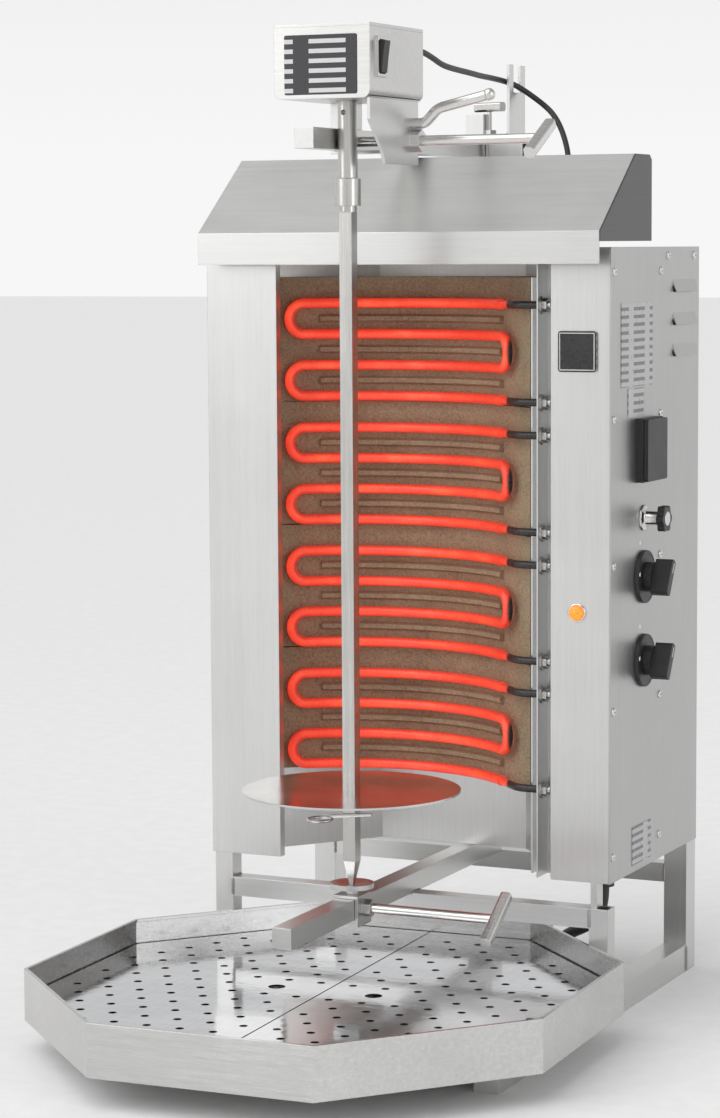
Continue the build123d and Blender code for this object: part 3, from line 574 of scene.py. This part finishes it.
coiled = list(MAINS_CORD)
COIL_X, COIL_Y = 165.0, 180.0
LAYERS = ((78.0, 78.0, 6.2, 6.2), (78.0, 66.0, 6.2, 6.2), (66.0, 66.0, 6.2, 6.2),
          (66.0, 72.0, 6.2, 16.8), (72.0, 72.0, 16.8, 16.8))
SWEEPS = (300, 60, 300, 60, 165)
angle = -90.0
for (r0, r1, z0, z1), sweep in zip(LAYERS, SWEEPS):
    count = round(sweep / 20)
    for k in range(count):
        part = k / count
        turn = radians(angle - sweep * part)
        radius = r0 + (r1 - r0) * part
        coiled.append((COIL_X + radius * cos(turn), COIL_Y + radius * sin(turn),
                       z0 + (z1 - z0) * part))
    angle -= sweep
coiled += [(165, 252, 17.0), (184, 252, 17.6), (203, 252, 18)]
mains_line = line_of(coiled)
mains_curve = route("mains_cord_curve", coiled, 0.006)
mains = bpy.data.objects.new("mains_cord_curve", mains_curve)
bpy.context.scene.collection.objects.link(mains)
dress(mains, CABLE)
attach(mains, "stand")
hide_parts("mains_cord", "cord_coil")


# ---------------------------------------------------------------- floor, light and camera
def floor():
    paint = Paint("pale_floor", Roughness=0.75)
    speck = paint.noise(40, detail=3.0)
    paint.colour(paint.ramp(speck, [(0.3, (0.86, 0.86, 0.86)), (0.7, (0.90, 0.90, 0.90))]))
    paint.bump([(speck, 0.0002)])
    size = 40.0
    mesh = mesh_of([(-size, -size, 0), (size, -size, 0), (size, size, 0), (-size, size, 0)],
                   [(0, 1, 2, 3)])
    thing = bpy.data.objects.new("floor", mesh)
    bpy.context.scene.collection.objects.link(thing)
    dress(thing, paint.material)


def softbox(name, place, aim, width, height, power):
    lamp = bpy.data.lights.new(name, "AREA")
    lamp.shape = "RECTANGLE"
    lamp.size, lamp.size_y, lamp.energy = width, height, power
    thing = bpy.data.objects.new(name, lamp)
    bpy.context.scene.collection.objects.link(thing)
    thing.location = place
    thing.rotation_euler = (Vector(aim) - Vector(place)).to_track_quat("-Z", "Y").to_euler()


def sky():
    """Soft light all round, pale at the horizon and greyer overhead."""
    world = bpy.data.worlds.new("studio")
    bpy.context.scene.world = world
    world.use_nodes = True
    tree = world.node_tree
    tree.nodes.clear()
    place = tree.nodes.new("ShaderNodeTexCoord")
    split = tree.nodes.new("ShaderNodeSeparateXYZ")
    tree.links.new(place.outputs["Generated"], split.inputs[0])
    shades = tree.nodes.new("ShaderNodeValToRGB")
    stops = ((0.03, 0.93), (0.30, 0.66), (0.62, 0.50), (0.95, 0.44))
    while len(shades.color_ramp.elements) < len(stops):
        shades.color_ramp.elements.new(0.5)
    for element, (spot, shade) in zip(shades.color_ramp.elements, stops):
        element.position = spot
        element.color = (shade, shade, shade, 1)
    tree.links.new(split.outputs["Z"], shades.inputs[0])
    light = tree.nodes.new("ShaderNodeBackground")
    light.inputs["Strength"].default_value = 1.0
    tree.links.new(shades.outputs[0], light.inputs[0])
    output = tree.nodes.new("ShaderNodeOutputWorld")
    tree.links.new(light.outputs[0], output.inputs[0])


def soft_sun():
    """A wide, even light that keeps the whole floor pale."""
    lamp = bpy.data.lights.new("soft_sun", "SUN")
    lamp.energy = 1.45
    lamp.angle = radians(70)
    thing = bpy.data.objects.new("soft_sun", lamp)
    bpy.context.scene.collection.objects.link(thing)
    thing.rotation_euler = Vector((1.0, 1.4, -2.4)).to_track_quat("-Z", "Y").to_euler()


def camera():
    yaw, pitch, roll = 0.4347, 0.1012, -0.0057
    ahead = Vector((-sin(yaw) * cos(pitch), cos(yaw) * cos(pitch), -sin(pitch)))
    right = Vector((cos(yaw), sin(yaw), 0))
    up = right.cross(ahead)
    side = right * cos(roll) + up * sin(roll)
    top = up * cos(roll) - right * sin(roll)
    turn = Matrix((side, top, -ahead)).transposed().to_4x4()
    lens = bpy.data.cameras.new("camera")
    lens.sensor_width = 36.0
    lens.lens = 99.25
    thing = bpy.data.objects.new("camera", lens)
    bpy.context.scene.collection.objects.link(thing)
    thing.matrix_world = Matrix.Translation((1.264543, -2.727074, 0.771506)) @ turn
    bpy.context.scene.camera = thing


floor()
softbox("key", (-1.9, -2.4, 1.7), (0, 0, 0.45), 1.4, 2.0, 13)
softbox("fill", (3.2, -1.0, 1.6), (0, 0, 0.45), 1.4, 2.2, 16)
soft_sun()
sky()
camera()
bpy.context.scene.view_settings.view_transform = "Standard"
